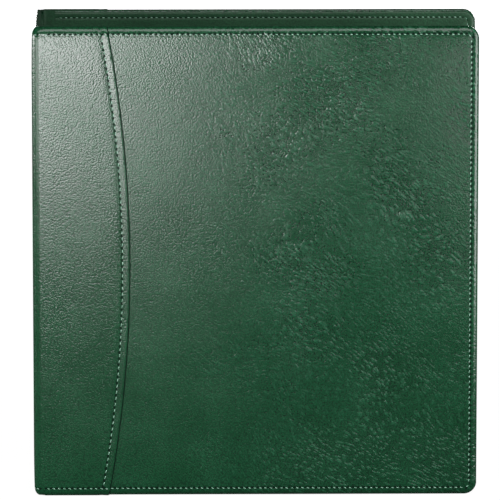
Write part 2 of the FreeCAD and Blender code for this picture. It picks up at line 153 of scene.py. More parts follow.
def faux_leather(name, base, deep, pale, crest_highlight, grain_mm, wrinkle, rough):
    """Polyurethane faux leather, embossed and plated: a pebbled grain that breaks up a satin sheen, finer
    pores, and drawn creases in patches, most of them towards the fore-edge, where the padding lets the
    skin move."""
    material, tree, shader, place = finish_named(name, {"IOR": 1.45, "Specular IOR Level": 0.45})
    # grain: rounded pebbles of uneven size, with pores of 0.9 mm, coarser than real so that they show
    pebble = add(tree, "ShaderNodeTexVoronoi", {
        "Vector": place, "Scale": repeats(grain_mm),
        "Smoothness": 0.4}, feature="SMOOTH_F1").outputs["Distance"]
    pore = add(tree, "ShaderNodeTexNoise", {
        "Vector": place, "Scale": repeats(0.9), "Detail": 2.0}).outputs["Fac"]
    grain = add(tree, "ShaderNodeMath", {0: pore, 1: -0.9, 2: pebble}, operation="MULTIPLY_ADD").outputs[0]
    # creases: pebbles of 4.8 by 1.8 mm, turned to fall towards the fore-edge and bent by slow 60 mm waves
    wave = add(tree, "ShaderNodeTexNoise", {
        "Vector": place, "Scale": repeats(60), "Detail": 1.0}).outputs["Color"]
    bent = add(tree, "ShaderNodeVectorMath", {
        0: wave, 1: (0.04, 0.04, 0.04), 2: place}, operation="MULTIPLY_ADD").outputs[0]
    drawn = add(tree, "ShaderNodeMapping", {
        "Vector": bent, "Rotation": (0, math.radians(40), 0),
        "Scale": (0.0048, 0.0048, 0.0018)}, vector_type="TEXTURE").outputs[0]
    fold = add(tree, "ShaderNodeTexVoronoi", {
        "Vector": drawn, "Scale": 1.0, "Smoothness": 0.25}, feature="SMOOTH_F1").outputs["Distance"]
    ridge = add(tree, "ShaderNodeMapRange", {
        "Value": fold, "From Min": 0.52, "From Max": 0.2}, interpolation_type="SMOOTHSTEP").outputs[0]
    valley = add(tree, "ShaderNodeMath", {0: 1.0, 1: ridge}, operation="SUBTRACT").outputs[0]
    # where they are: in 45 mm patches, fading from the fore-edge to the spine
    across = add(tree, "ShaderNodeSeparateXYZ", {0: place}).outputs["X"]
    towards = add(tree, "ShaderNodeMapRange", {
        "Value": across, "From Min": -0.08, "From Max": 0.05, "To Min": 0.08,
        "To Max": 1.0}, interpolation_type="SMOOTHSTEP").outputs[0]
    patch = add(tree, "ShaderNodeTexNoise", {
        "Vector": place, "Scale": repeats(45), "Detail": 2.0}).outputs["Fac"]
    patched = add(tree, "ShaderNodeMapRange", {
        "Value": patch, "From Min": 0.34, "From Max": 0.66, "To Min": 0.25}).outputs[0]
    where = add(tree, "ShaderNodeMath", {0: towards, 1: patched}, operation="MULTIPLY").outputs[0]
    crease = add(tree, "ShaderNodeMath", {0: valley, 1: where}, operation="MULTIPLY").outputs[0]
    crown = add(tree, "ShaderNodeMath", {0: ridge, 1: where}, operation="MULTIPLY").outputs[0]
    # colour: a cloudy body, with a painted highlight on the crests of the creases, and painted shade in the
    # creases and between the pebbles
    tone = add(tree, "ShaderNodeTexNoise", {
        "Vector": place, "Scale": repeats(38), "Detail": 3.0}).outputs["Fac"]
    toned = add(tree, "ShaderNodeMapRange", {"Value": tone, "From Min": 0.3, "From Max": 0.7}).outputs[0]
    body = add(tree, "ShaderNodeMix", {
        "Factor": toned, "A": linear(base), "B": linear(pale)}, data_type="RGBA").outputs["Result"]
    # painted highlight: the crests of the creases mixed towards a lighter green, as if lit
    crested = add(tree, "ShaderNodeMath", {0: crown, 1: 0.6 * wrinkle}, operation="MULTIPLY").outputs[0]
    crest_lit = add(tree, "ShaderNodeMix", {
        "Factor": crested, "A": body, "B": linear(crest_highlight)}, data_type="RGBA").outputs["Result"]
    # painted shade: darker in the gaps between the pebbles and in the creases
    gap = add(tree, "ShaderNodeMapRange", {
        "Value": grain, "From Min": -0.15, "From Max": 0.3, "To Max": 0.6}).outputs[0]
    shaded = add(tree, "ShaderNodeMath", {
        0: crease, 1: 0.45 * wrinkle, 2: gap}, operation="MULTIPLY_ADD").outputs[0]
    skin = add(tree, "ShaderNodeMix", {
        "Factor": shaded, "A": crest_lit, "B": linear(deep)}, data_type="RGBA").outputs["Result"]
    tree.links.new(skin, shader.inputs["Base Color"])
    # sheen: uneven where the plating was
    worn = add(tree, "ShaderNodeMapRange", {
        "Value": tone, "From Min": 0.3, "From Max": 0.7,
        "To Min": rough - 0.03, "To Max": rough + 0.03}).outputs[0]
    tree.links.new(worn, shader.inputs["Roughness"])
    # relief: creases first, then the grain over them
    folds = add(tree, "ShaderNodeBump", {
        "Height": crease, "Strength": wrinkle, "Distance": 0.0002}, invert=True).outputs[0]
    relief = add(tree, "ShaderNodeBump", {
        "Height": grain, "Strength": 0.4, "Distance": 0.00017, "Normal": folds}, invert=True).outputs[0]
    tree.links.new(relief, shader.inputs["Normal"])
    return material


def sewing_thread():
    """Bonded polyester sewing thread, three strands laid together: a soft lustre that the slanting lay
    breaks up."""
    material, tree, shader, place = finish_named("polyester sewing thread, bonded", {
        "Roughness": 0.42, "IOR": 1.57, "Sheen Weight": 0.25, "Sheen Roughness": 0.4})
    # the lay is drawn 0.6 mm wide, about twice its real width, so that it shows. Its colour is painted shade:
    # darker in the grooves between the strands, lighter on them
    lay = add(tree, "ShaderNodeTexWave", {
        "Vector": place, "Scale": repeats(0.6) / (2 * math.pi), "Distortion": 1.5},
        bands_direction="DIAGONAL").outputs["Fac"]
    shade = add(tree, "ShaderNodeMix", {
        "Factor": lay, "A": linear("#527f69"), "B": linear("#87ab99")}, data_type="RGBA").outputs["Result"]
    tree.links.new(shade, shader.inputs["Base Color"])
    relief = add(tree, "ShaderNodeBump", {"Height": lay, "Strength": 0.5, "Distance": 0.0001}).outputs[0]
    tree.links.new(relief, shader.inputs["Normal"])
    return material


def painted_hole_shade():
    """Painted shade: a near-black, dry finish put inside the needle holes and along the folded edge under the
    lap, where shade falls.
    """
    material, tree, shader, place = finish_named("faux leather, painted shade of holes and fold", {
        "Roughness": 0.95, "Specular IOR Level": 0.05})
    speck = add(tree, "ShaderNodeTexNoise", {"Vector": place, "Scale": repeats(0.5)}).outputs["Fac"]
    shade = add(tree, "ShaderNodeMix", {
        "Factor": speck, "A": linear("#04100a"), "B": linear("#0c2016")}, data_type="RGBA").outputs["Result"]
    tree.links.new(shade, shader.inputs["Base Color"])
    return material


def nickel_plate():
    """Spring steel, formed and nickel-plated: bright and a little warm, with faint draw marks of 0.4 by 20 mm
    and hazy patches."""
    material, tree, shader, place = finish_named("spring steel, bright nickel plate", {"Metallic": 1.0})
    drawn = add(tree, "ShaderNodeMapping", {
        "Vector": place, "Scale": (0.0004, 0.0004, 0.02)}, vector_type="TEXTURE").outputs[0]
    mark = add(tree, "ShaderNodeTexNoise", {"Vector": drawn, "Scale": 1.0, "Detail": 2.0}).outputs["Fac"]
    haze = add(tree, "ShaderNodeTexNoise", {
        "Vector": place, "Scale": repeats(14), "Detail": 3.0}).outputs["Fac"]
    shade = add(tree, "ShaderNodeMix", {
        "Factor": haze, "A": linear("#b9b4aa"), "B": linear("#d6d2ca")}, data_type="RGBA").outputs["Result"]
    tree.links.new(shade, shader.inputs["Base Color"])
    gloss = add(tree, "ShaderNodeMapRange", {
        "Value": haze, "From Min": 0.3, "From Max": 0.7, "To Min": 0.14, "To Max": 0.28}).outputs[0]
    tree.links.new(gloss, shader.inputs["Roughness"])
    relief = add(tree, "ShaderNodeBump", {"Height": mark, "Strength": 0.12, "Distance": 0.0001}).outputs[0]
    tree.links.new(relief, shader.inputs["Normal"])
    return material


def fibre_sheet(name, dark, light, fibre_mm, rough):
    """Pressed paper fibre: matt, with short fibres lying all ways and a faint cloudy tone."""
    material, tree, shader, place = finish_named(name, {
        "Roughness": rough, "IOR": 1.5, "Specular IOR Level": 0.3})
    fibre = add(tree, "ShaderNodeTexNoise", {
        "Vector": place, "Scale": repeats(fibre_mm), "Detail": 4.0, "Roughness": 0.7,
        "Distortion": 1.2}).outputs["Fac"]
    cloud = add(tree, "ShaderNodeTexNoise", {
        "Vector": place, "Scale": repeats(25), "Detail": 2.0}).outputs["Fac"]
    both = add(tree, "ShaderNodeMath", {0: fibre, 1: cloud}, operation="MULTIPLY").outputs[0]
    spread = add(tree, "ShaderNodeMapRange", {"Value": both, "From Min": 0.12, "From Max": 0.42}).outputs[0]
    shade = add(tree, "ShaderNodeMix", {
        "Factor": spread, "A": linear(dark), "B": linear(light)}, data_type="RGBA").outputs["Result"]
    tree.links.new(shade, shader.inputs["Base Color"])
    relief = add(tree, "ShaderNodeBump", {"Height": fibre, "Strength": 0.3, "Distance": 0.0001}).outputs[0]
    tree.links.new(relief, shader.inputs["Normal"])
    return material


def clear_film():
    """Polyester film, cast clear: water-clear and glossy, with slow ripples that bend its highlights."""
    material, tree, shader, place = finish_named("polyester film, cast clear", {
        "Base Color": linear("#f4f8f8"), "IOR": 1.5, "Transmission Weight": 1.0})
    ripple = add(tree, "ShaderNodeTexNoise", {
        "Vector": place, "Scale": repeats(18), "Detail": 1.0}).outputs["Fac"]
    gloss = add(tree, "ShaderNodeMapRange", {"Value": ripple, "To Min": 0.03, "To Max": 0.1}).outputs[0]
    tree.links.new(gloss, shader.inputs["Roughness"])
    relief = add(tree, "ShaderNodeBump", {"Height": ripple, "Strength": 0.15, "Distance": 0.0006}).outputs[0]
    tree.links.new(relief, shader.inputs["Normal"])
    return material


LEATHER = faux_leather("polyurethane faux leather, pebble embossed", base="#0b3820", deep="#041a0f",
                       pale="#0f4127", crest_highlight="#336b50", grain_mm=1.0, wrinkle=0.5, rough=0.19)
LINING = faux_leather("polyurethane lining skin, lightly embossed", base="#1b4029", deep="#112a1b",
                      pale="#20492f", crest_highlight="#2c6448", grain_mm=1.2, wrinkle=0.15, rough=0.5)
THREAD = sewing_thread()
HOLE_SHADE = painted_hole_shade()
NICKEL = nickel_plate()
CARD = fibre_sheet("album card, black, calendered", "#101011", "#1f1f20", fibre_mm=0.8, rough=0.8)
GREYBOARD = fibre_sheet("greyboard, pressed waste paper", "#6f6b62", "#9b968b", fibre_mm=1.2, rough=0.9)
FILM = clear_film()


# Modelling helpers

CREASE_ANGLE = math.radians(43)  # edges that turn more than this stay sharp


def settle(bm, name, finishes, body=None):
    """The modelled piece in metres, with its finishes, shaded smooth except at its creases."""
    bmesh.ops.scale(bm, vec=(0.001,) * 3, verts=bm.verts)
    for face in bm.faces:
        face.smooth = True
    for edge in bm.edges:
        edge.smooth = edge.calc_face_angle(0) < CREASE_ANGLE
    mesh = bpy.data.meshes.new(name)
    bm.to_mesh(mesh)
    bm.free()
    for finish in finishes:
        mesh.materials.append(finish)
    piece = bpy.data.objects.new(name, mesh)
    bpy.context.scene.collection.objects.link(piece)
    if body:
        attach(piece, body)
    return piece


def stand(bm, side):
    """Stands a cover's piece up from the bench, face outwards, as the front or the back one."""
    bmesh.ops.transform(bm, matrix=SIDES[side], verts=bm.verts)
    bmesh.ops.recalc_face_normals(bm, faces=bm.faces)
    return bm


def sweep(sections):
    """A closed section carried from place to place, closed at both ends."""
    bm = bmesh.new()
    end = bm.faces.new([bm.verts.new(p) for p in sections[0]])
    for n, section in enumerate(sections[1:]):
        grown = bmesh.ops.extrude_face_region(bm, geom=[end])["geom"]
        if n:
            bmesh.ops.delete(bm, geom=[end], context="FACES_ONLY")
        end = next(g for g in grown if isinstance(g, bmesh.types.BMFace))
        for vert, place in zip(end.verts, section):
            vert.co = place
    bmesh.ops.recalc_face_normals(bm, faces=bm.faces)
    return bm


def sewn_panel(right, low, high, roll, swell):
    """A cover's panel on the bench, from the hinge to its rounded fore-edge corners, with its edge turned
    over as roll says. It starts as one grid. Lines of the grid that lie beyond the corners' centres follow
    the roll, ring by ring."""
    radius = roll[0][0]
    inner_width = right - radius - HINGE_END
    inner_height = high - low - 2 * radius
    rings = len(roll) - 1
    columns = PANEL_COLUMNS + rings
    rows = PANEL_ROWS + 2 * rings
    bm = bmesh.new()
    bmesh.ops.create_grid(bm, x_segments=columns, y_segments=rows, size=0.5)
    for vert in bm.verts:
        column = round((vert.co.x + 0.5) * columns)
        row = round((vert.co.y + 0.5) * rows)
        x = HINGE_END + inner_width * min(column, PANEL_COLUMNS) / PANEL_COLUMNS
        y = low + radius + inner_height * min(max(row - rings, 0), PANEL_ROWS) / PANEL_ROWS
        ring_x = max(0, column - PANEL_COLUMNS)
        ring_low = max(0, rings - row)
        ring_y = max(ring_low, row - rings - PANEL_ROWS)
        ring = max(ring_x, ring_y)
        depth = roll[ring][1]
        if ring:
            eighths = ring_y / ring_x if ring_x >= ring_y else 2 - ring_x / ring_y
            turn = math.pi / 4 * eighths
            reach = radius - roll[ring][0]
            x += reach * math.cos(turn)
            y += reach * math.sin(turn) * (-1 if ring_low else 1)
        elif swell:
            loose = 1.0
            for gap in (right - radius - x, y - low - radius, high - radius - y):
                loose *= 1 - max(0.0, 1 - max(0.0, gap) / SWELL_REACH) ** 2
            depth -= (swell + SLACK * noise.noise(Vector((x, y, 0)) / SLACK_WAVE)) * loose
        vert.co = (x, y, -depth)
    # one edge across the hinge end's back makes a loop of it, and both open loops are filled
    ends = [v for v in bm.verts if v.co.x < HINGE_END + TOUCH and abs(v.co.z + roll[-1][1]) < TOUCH]
    bmesh.ops.contextual_create(bm, geom=ends)
    bmesh.ops.edgenet_fill(bm, edges=[e for e in bm.edges if len(e.link_faces) < 2])
    bmesh.ops.recalc_face_normals(bm, faces=bm.faces)
    return bm


def seam_at(height):
    """How far across the lapped edge is at a height."""
    from_middle = min(max(height, 0), HEIGHT) - HEIGHT / 2
    return SEAM_END + SEAM_BOW - SEAM_RADIUS + math.sqrt(SEAM_RADIUS ** 2 - from_middle ** 2)


# Covers

LAP_STEP = 3.0  # spacing of points down the face of the lapped leather
LAP_COLUMNS = 48  # points from the hinge to where the lapped edge is shaped
# Height that the lapped leather loses towards its folded edge: (distance from the edge, loss).
LAP_EDGE = [
    (9.0, 0.0), (7.6, 0.01), (6.6, 0.04), (5.8, 0.09), (5.3, SEAM_CHANNEL), (5.0, SEAM_CHANNEL),
    (4.7, SEAM_CHANNEL), (4.2, 0.1), (3.4, 0.05), (2.4, 0.0), (1.4, -0.02), (0.7, 0.02), (0.3, 0.16),
    (0.08, 0.4), (0.0, 0.62), (0.0, 0.9)]
FOLD_SHADE_WIDTH, FOLD_SHADE_DEPTH = 0.75, 3.0  # how far in from the lapped edge, and how deep, the folded edge is given painted shade
# Puckers at the top of the lapped edge: (distance from the edge, lean, width, height).
GATHERS = [(6.4, 0.3, 0.5, 0.3), (5.2, 0.3, 0.5, -0.18), (2.2, 0.0, 0.45, 0.28), (1.2, 0.0, 0.35, -0.12)]
GATHERED, GATHER_FADE = 6.5, 3.0  # how far down the puckers reach, and where they have faded in


def padded_cover(side):
    """The foam-padded cover: rolled edge, sewn channel, padded panel."""
    bm = sewn_panel(WIDTH, TURN, HEIGHT - TURN, PANEL_ROLL, PANEL_SWELL)
    piece = settle(stand(bm, side), side + "_padded_cover", [LEATHER], side + "_cover")
    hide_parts(side + "_skin", side + "_foam")
    return piece


def lap_path():
    """The lapped leather's line from the inside of the top edge, over the roll, down the face and round the
    bottom: (height, depth, which way is out)."""
    face_start, face_depth = ROLL[0]
    face_count = int((HEIGHT - 2 * face_start) / LAP_STEP)
    top = [(HEIGHT - margin, depth) for margin, depth in reversed(ROLL)]
    face = [(HEIGHT - face_start - LAP_STEP * i, face_depth) for i in range(1, face_count + 1)]
    line = top + face + ROLL
    path = []
    for i, (height, depth) in enumerate(line):
        above_height, above_depth = line[max(i - 1, 0)]
        below_height, below_depth = line[min(i + 1, len(line) - 1)]
        along = Vector((below_height - above_height, below_depth - above_depth)).normalized()
        path.append((height, depth, Vector((-along.y, along.x))))
    return path


LAP_PATH = lap_path()


def lap_rows(step):
    """Heights and depths of the lapped leather's line, all of its turned edges and every few of its face."""
    turned = len(ROLL)
    rows = LAP_PATH[:turned] + LAP_PATH[turned:-turned:step] + LAP_PATH[-turned:]
    return [(height, depth) for height, depth, out in rows]


def gathers(across, height):
    """Small puckers where the lapped edge is turned over the top of the cover."""
    below = HEIGHT - height
    puckers = 0.0
    for back, lean, width, rise in GATHERS:
        off = across - (seam_at(HEIGHT) - back + lean * below)
        puckers += rise * math.exp(-(off / width) ** 2)
    return puckers * max(0.0, min(1.0, (GATHERED - below) / GATHER_FADE))


def lapped_panel(side):
    """The spine leather lapped over the cover, with its bowed edge folded under and sewn."""
    plain = [(k / LAP_COLUMNS, LAP_EDGE[0][0], 0.0) for k in range(LAP_COLUMNS)]
    shaped = [(1.0, back, loss) for back, loss in LAP_EDGE]
    sections = []
    for share, back, loss in plain + shaped:
        section = []
        for points, lost in ((LAP_PATH, loss), (reversed(LAP_PATH), max(LAP_WALL, loss))):
            for height, depth, out in points:
                across = HINGE_END + share * (seam_at(height) - back - HINGE_END)
                pucker = gathers(across, height) if side == "front" else 0.0
                lift = pucker - lost
                section.append((across, height + out.x * lift, -(depth + out.y * lift)))
        sections.append(section)
    bm = sweep(sections)
    # the fold's last section has no thickness, so its end face goes and its points are merged
    end_faces = [f for f in bm.faces if len(f.verts) > 8]
    tip = max(end_faces, key=lambda f: f.calc_center_median().x)
    bmesh.ops.delete(bm, geom=[tip], context="FACES_ONLY")
    bmesh.ops.remove_doubles(bm, verts=bm.verts, dist=TOUCH)
    # the faces along the folded edge take the near-black finish: painted shade of the fold
    for face in bm.faces:
        middle = face.calc_center_median()
        if seam_at(middle.y) - middle.x < FOLD_SHADE_WIDTH and middle.z > -FOLD_SHADE_DEPTH:
            face.material_index = 1
    piece = settle(stand(bm, side), side + "_lapped_panel", [LEATHER, HOLE_SHADE], side + "_cover")
    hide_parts(side + "_spine_panel")
    return piece


def cover_lining(side):
    """The lining skin, turned in all round and sewn through with the cover."""
    edge = TURN + LINING_INSET
    bm = sewn_panel(WIDTH - LINING_INSET, edge, HEIGHT - edge, LINING_ROLL, 0)
    piece = settle(stand(bm, side), side + "_cover_lining", [LINING], side + "_cover")
    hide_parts(side + "_lining")
    return piece


# Spine and hinges

SPINE_STEP = 0.85  # spacing of points across the spine
SPINE_ROLL, SPINE_SQUEEZE = 2.0, 0.84  # below this depth the thinner spine's turned edge is squeezed
SPINE_GAP = 0.2  # from the spine's lining to the hinge
HINGE_STEPS = 18
HINGE_PROUD = 0.18  # how far the hinge's inside stands over the linings beside it
HINGE_DIP, DIP_REACH = 0.3, 1.4  # how far it dips under them at its ends, and over what length
HINGE_SOFT = 1.2  # how round the hinge's inside corner is
HINGE_TUCK, TUCK_STEPS = 1.4, 10  # where the hinge's lining starts at the top, and points down it
LINED_FROM = 5.6  # across and depth past which the hinge's inside is lining
TURNED_IN, TURNED_SHARE = 6.0, 0.99  # from this depth the turned edge lies this far along a rung


def spine_wrap():
    """The padded spine: the same rolled, sewn edges as the covers, wrapped round its board."""
    stations = int(2 * SPINE_HALF / SPINE_STEP)
    sections = []
    for k in range(stations + 1):
        y = -SPINE_HALF + 2 * SPINE_HALF * k / stations
        section = []
        for height, depth in lap_rows(step=12):
            squeezed = SPINE_ROLL + (depth - SPINE_ROLL) * SPINE_SQUEEZE
            section.append((depth if depth < SPINE_ROLL else squeezed, y, height))
        sections.append(section)
    bm = sweep(sections)
    bmesh.ops.translate(bm, vec=(-WIDTH / 2, 0, 0), verts=bm.verts)
    piece = settle(bm, "spine_wrap", [LEATHER], "spine")
    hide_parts("spine_skin", "spine_foam")
    return piece


def spine_lining():
    """The lining skin of the spine, with the same turned edge as the covers' lining."""
    base = LINING_ROLL[-2][1]
    bm = bmesh.new()
    bmesh.ops.create_grid(bm, x_segments=1, y_segments=1, size=0.5)
    size = (2 * (SPINE_HALF - SPINE_GAP), HEIGHT - 2 * (TURN + LINING_INSET), 1)
    bmesh.ops.scale(bm, vec=size, verts=bm.verts)
    grown = bmesh.ops.extrude_face_region(bm, geom=bm.faces[:])["geom"]
    top = next(g for g in grown if isinstance(g, bmesh.types.BMFace))
    margin, depth = LINING_ROLL[-3]
    bmesh.ops.translate(bm, vec=(0, 0, depth - base), verts=top.verts)
    bmesh.ops.recalc_face_normals(bm, faces=bm.faces)
    top = max(bm.faces, key=lambda f: f.calc_center_median().z)
    for next_margin, next_depth in reversed(LINING_ROLL[1:-3]):
        bmesh.ops.inset_region(bm, faces=[top], thickness=next_margin - margin, depth=next_depth - depth,
                               use_even_offset=True)
        margin, depth = next_margin, next_depth
    # the bench's right is the album's back, its top is up, and its face looks into the album
    under = SPINE_LINED - (COVER_LINED - base) - WIDTH / 2
    turn = Matrix(((0, 0, 1, under), (1, 0, 0, 0), (0, 1, 0, HEIGHT / 2), (0, 0, 0, 1)))
    bmesh.ops.transform(bm, matrix=turn, verts=bm.verts)
    bmesh.ops.recalc_face_normals(bm, faces=bm.faces)
    piece = settle(bm, "spine_inner_lining", [LINING], "spine")
    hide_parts("spine_lining")
    return piece


def hinge_rungs():
    """Lines that cross the hinge from leather to lining, all at 45 degrees: outer end and inner end as
    (across, depth), and which way is out."""
    corner = COVER_LINED - SPINE_LINED
    rungs = []
    for k in range(HINGE_STEPS + 1):
        slide = BEND - (BEND + HINGE_END) * k / HINGE_STEPS  # depth minus across, the same along a rung
        if slide > -BEND:
            turn = math.acos(max(-1, min(1, slide / (BEND * math.sqrt(2))))) - math.pi / 4
            out = Vector((-math.cos(turn), -math.sin(turn)))
            outer = Vector((BEND, BEND)) + BEND * out
        else:
            out = Vector((0, -1))
            outer = Vector((-slide, 0))
        # two straight walls with a soft inside corner, just proud of the linings beside it
        wall = SPINE_LINED + HINGE_PROUD - HINGE_DIP * max(0.0, (slide - BEND + DIP_REACH) / DIP_REACH)
        base = COVER_LINED + HINGE_PROUD - HINGE_DIP * max(0.0, (DIP_REACH - slide - HINGE_END) / DIP_REACH)
        half = 0.5 * (slide - corner)
        above_corner = half + math.sqrt(half ** 2 + HINGE_SOFT)
        across = wall + max(0, above_corner - slide + corner)
        inner = Vector((max(across, base - slide), max(across + slide, base)))
        rungs.append((outer, inner, out))
    return rungs


def hinge_fold(side):
    """The leather and lining that bend between spine and cover, sewn together along their edges."""
    sections = []
    for outer, inner, out in hinge_rungs():
        section = []
        for height, depth in lap_rows(step=8):
            if depth < 0:
                spot = outer - out * depth
            else:
                spot = outer.lerp(inner, depth / SPINE_LINED if depth < TURNED_IN else TURNED_SHARE)
            section.append((spot.x, height, -spot.y))
        for k in range(1, TUCK_STEPS):
            height = HINGE_TUCK + (HEIGHT - 2 * HINGE_TUCK) * k / TUCK_STEPS
            section.append((inner.x, height, -inner.y))
        sections.append(section)
    bm = stand(sweep(sections), side)
    for face in bm.faces:
        middle = face.calc_center_median()
        depth = HALF_DEPTH - abs(middle.y)
        across = middle.x + WIDTH / 2
        if min(across, depth) > LINED_FROM and abs(face.normal.z) < 0.5:
            face.material_index = 1
    piece = settle(bm, side + "_hinge_fold", [LEATHER, LINING])
    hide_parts(side + "_hinge_leather", side + "_hinge_lining")
    bend_with_cover(piece, side)
    return piece


def bend_with_cover(piece, side):
    """Bakes a piece's placement into its points; it does not bend the piece from the spine to a cover."""
    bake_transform(piece)


# Sewing

STITCH_SIZE = (0.92, 0.28, 0.28)  # half its length, width and height
STITCH_SAG = 0.2
HOLE_RADIUS, HOLE_FLOOR, HOLE_DEPTH = 0.8, 0.68, 0.12
HOLE_STRETCH = (1.25, 0.85, 1)  # along the row, across it and down
HOLE_SUNK = 0.02
# From the row to its holes, with the row's lift in z.
EDGE_ASIDE, FORE_ASIDE = (0, 0.5, 0.05), (0.65, 0.1, 0.05)
SEAM_ASIDE, SPINE_ASIDE, HINGE_ASIDE = (-0.35, 0, 0), (0, 0, 0.4), (0, 0.4, 0)
STITCH_SLANT, SEAM_SLANT, LINING_SLANT = -14, -8, 10  # degrees
ROW_START, INNER_START = HINGE_END + 0.5, 16.0  # across where a cover's rows start, outside and inside
ROW_CORNER = 3.0  # radius of the rows at the fore-edge
LAP_CLEAR = 1.5  # stitches nearer to the lapped edge lie on the cover
LAP_THREAD = 0.04  # depth of the thread on the lapped leather
PANEL_THREAD = 0.84  # and on the cover
LINING_THREAD = 6.8  # and on the lining
TOP_PULL = 0.16  # how much deeper the thread is along the top, which is drawn tighter
SEAM_ROW_END = 6.5  # from the seam's row to the edges
SEAM_THREAD = 0.12  # how far the thread stands over the seam's channel
SPINE_THREAD, SPINE_INNER_THREAD = 0.2, 6.02  # depth of the thread on the spine, outside and inside
SPINE_ROW_END, SPINE_INNER_END = 0.5, 7.05  # from the spine's rows to the hinges
HINGE_TURNS = (16, 55)  # degrees round the hinge where its stitches are


def stitch_shape():
    """One stitch lying along X: a short bead of thread, drawn down at its ends."""
    bm = bmesh.new()
    bmesh.ops.create_uvsphere(bm, u_segments=6, v_segments=6, radius=1.0)
    bmesh.ops.rotate(bm, matrix=Matrix.Rotation(math.pi / 2, 3, "Y"), verts=bm.verts)
    bmesh.ops.scale(bm, vec=STITCH_SIZE, verts=bm.verts)
    for vert in bm.verts:
        vert.co.z -= STITCH_SAG * vert.co.x ** 2
    shape = bpy.data.meshes.new("stitch")
    bm.to_mesh(shape)
    bm.free()
    return shape


def hole_shape():
    """One needle hole: a shallow dished spot, a little longer along the row, all in the near-black finish of
    painted shade.
    """
    bm = bmesh.new()
    bmesh.ops.create_cone(bm, cap_ends=True, segments=8, radius1=HOLE_RADIUS, radius2=HOLE_FLOOR,
                          depth=HOLE_DEPTH)
    bmesh.ops.scale(bm, vec=HOLE_STRETCH, verts=bm.verts)
    for face in bm.faces:
        face.material_index = 1
    shape = bpy.data.meshes.new("needle_hole")
    bm.to_mesh(shape)
    bm.free()
    return shape


STITCH, NEEDLE_HOLE = stitch_shape(), hole_shape()


def sew(bm, places, slant, longer=1.0):
    """Sews stitches and needle holes at places: (point, direction along the row, way out, sideways to the
    hole)."""
    lean = Matrix.Rotation(math.radians(slant), 4, "Z") @ Matrix.Diagonal((longer, 1, 1, 1))
    for point, along, out, aside in places:
        turn = Matrix((along, out.cross(along), out)).transposed().to_4x4()
        hole = point + along * EDGE_STITCH / 2 * longer + aside - out * HOLE_SUNK
        stitch_place = Matrix.Translation(point) @ turn @ lean
        hole_place = Matrix.Translation(hole) @ turn
        for shape, place in ((STITCH, stitch_place), (NEEDLE_HOLE, hole_place)):
            copy = shape.copy()
            copy.transform(place)
            bm.from_mesh(copy)
            bpy.data.meshes.remove(copy)


def edge_row(start):
    """Places along a cover's edge row: along the top, round the fore-edge, back along the bottom."""
    right = WIDTH - EDGE_LINE
    low = EDGE_LINE + EDGE_DROP
    top = HEIGHT - low
    bend = right - ROW_CORNER
    runs = [
        (Vector((start, top)), Vector((bend, top))),
        (Vector((right, top - ROW_CORNER)), Vector((right, low + ROW_CORNER))),
        (Vector((bend, low)), Vector((start, low)))]
    corners = [(Vector((bend, top - ROW_CORNER)), 45), (Vector((bend, low + ROW_CORNER)), -45)]
    places = []
    for n, (begin, end) in enumerate(runs):
        count = round((end - begin).length / EDGE_STITCH)
        for k in range(count):
            places.append((begin.lerp(end, (k + 0.5) / count), (end - begin).normalized()))
        if n < len(corners):
            centre, degrees = corners[n]
            turn = math.radians(degrees)
            spot = centre + ROW_CORNER * Vector((math.cos(turn), math.sin(turn)))
            places.append((spot, Vector((math.sin(turn), -math.cos(turn)))))
    return places


def cover_sewing(side):
    """Stitching round the cover, seen on its face and on its lining."""
    bm = bmesh.new()
    out = Vector((0, 0, 1))
    outside = []
    for spot, along in edge_row(ROW_START):
        lapped = spot.x < seam_at(spot.y) - LAP_CLEAR
        depth = LAP_THREAD if lapped else PANEL_THREAD
        aside = Vector(EDGE_ASIDE if abs(along.x) > 0.9 else FORE_ASIDE)
        if spot.y > HEIGHT - 2 * EDGE_LINE:
            # the holes stay on the surface there, and show more than the thread
            depth += TOP_PULL
            aside.z += TOP_PULL
        outside.append((Vector((spot.x, spot.y, -depth)), Vector((along.x, along.y, 0)), out, aside))
    sew(bm, outside, STITCH_SLANT)
    inside = []
    for spot, along in edge_row(INNER_START):
        point = Vector((spot.x, spot.y, -LINING_THREAD))
        inside.append((point, Vector((along.x, along.y, 0)), -out, Vector()))
    sew(bm, inside, LINING_SLANT)
    piece = settle(stand(bm, side), side + "_edge_sewing", [THREAD, HOLE_SHADE], side + "_cover")
    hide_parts(side + "_edge_thread")
    return piece


def channel_depth(height):
    """Depth of the seam's channel at a height: the face's own depth and what the stitches draw down."""
    margin = min(height, HEIGHT - height)
    for (far, far_depth), (near, near_depth) in zip(ROLL, ROLL[1:]):
        if margin >= near:
            share = min(1.0, (margin - near) / (far - near))
            return SEAM_CHANNEL + near_depth + (far_depth - near_depth) * share
    return SEAM_CHANNEL


def seam_sewing(side):
    """Stitching along the bowed seam, just inside the folded edge."""
    bm = bmesh.new()
    length = HEIGHT - 2 * SEAM_ROW_END
    count = round(length / SEAM_STITCH)
    places = []
    for k in range(count):
        height = HEIGHT - SEAM_ROW_END - length * (k + 0.5) / count
        spot = Vector((seam_at(height) - SEAM_LINE, height, SEAM_THREAD - channel_depth(height)))
        along = Vector((seam_at(height - 1) - seam_at(height), -1, 0)).normalized()
        places.append((spot, along, Vector((0, 0, 1)), Vector(SEAM_ASIDE)))
    sew(bm, places, SEAM_SLANT, SEAM_STITCH / EDGE_STITCH)
    piece = settle(stand(bm, side), side + "_seam_sewing", [THREAD, HOLE_SHADE], side + "_cover")
    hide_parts(side + "_seam_thread")
    return piece


